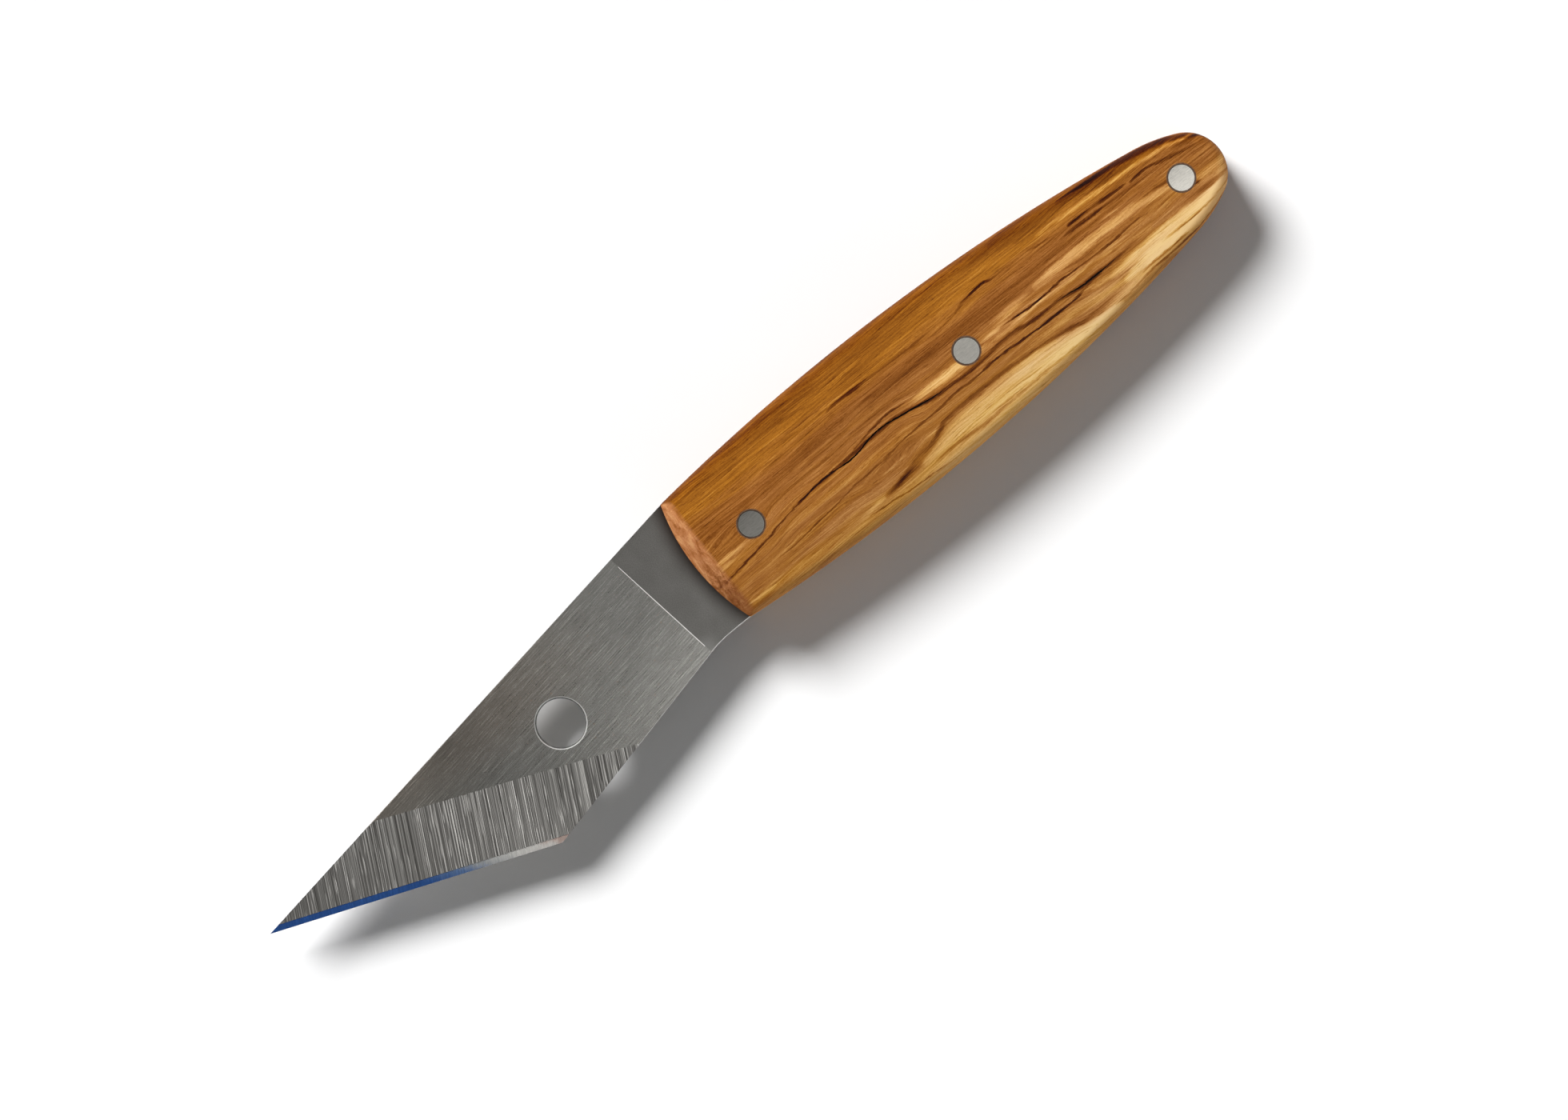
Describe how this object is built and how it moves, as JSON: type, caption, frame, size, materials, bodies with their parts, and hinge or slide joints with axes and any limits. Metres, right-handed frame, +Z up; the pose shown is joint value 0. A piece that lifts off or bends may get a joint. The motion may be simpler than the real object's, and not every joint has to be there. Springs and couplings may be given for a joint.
{
  "type": "chip carving knife",
  "caption": "Chip carving knife with a straight skew blade, a full tang held between two pinned wooden scales, and a hanging hole through the blade.",
  "frame": {"origin": "under the middle of the knife's plan outline, on the surface that it lies on", "axes": "+X from the tip to the butt along the line of the pins, +Y towards the spine, +Z up out of the left side, which is the side in the picture"},
  "size_m": [0.179, 0.031, 0.0147],
  "materials": {
    "blade_steel": "brushed along the blade, coarse cross-ground bevels, polished micro bevel",
    "pin_steel": "rubbed down flush, fine scratches",
    "olive_wood": "oiled, satin",
    "epoxy": "dark set adhesive"
  },
  "bodies": {
    "root": {"blade": "blade_steel", "left_scale": "olive_wood", "right_scale": "olive_wood", "left_glue_line": "epoxy", "right_glue_line": "epoxy", "front_pin": "pin_steel", "middle_pin": "pin_steel", "rear_pin": "pin_steel"}
  },
  "joints": []
}
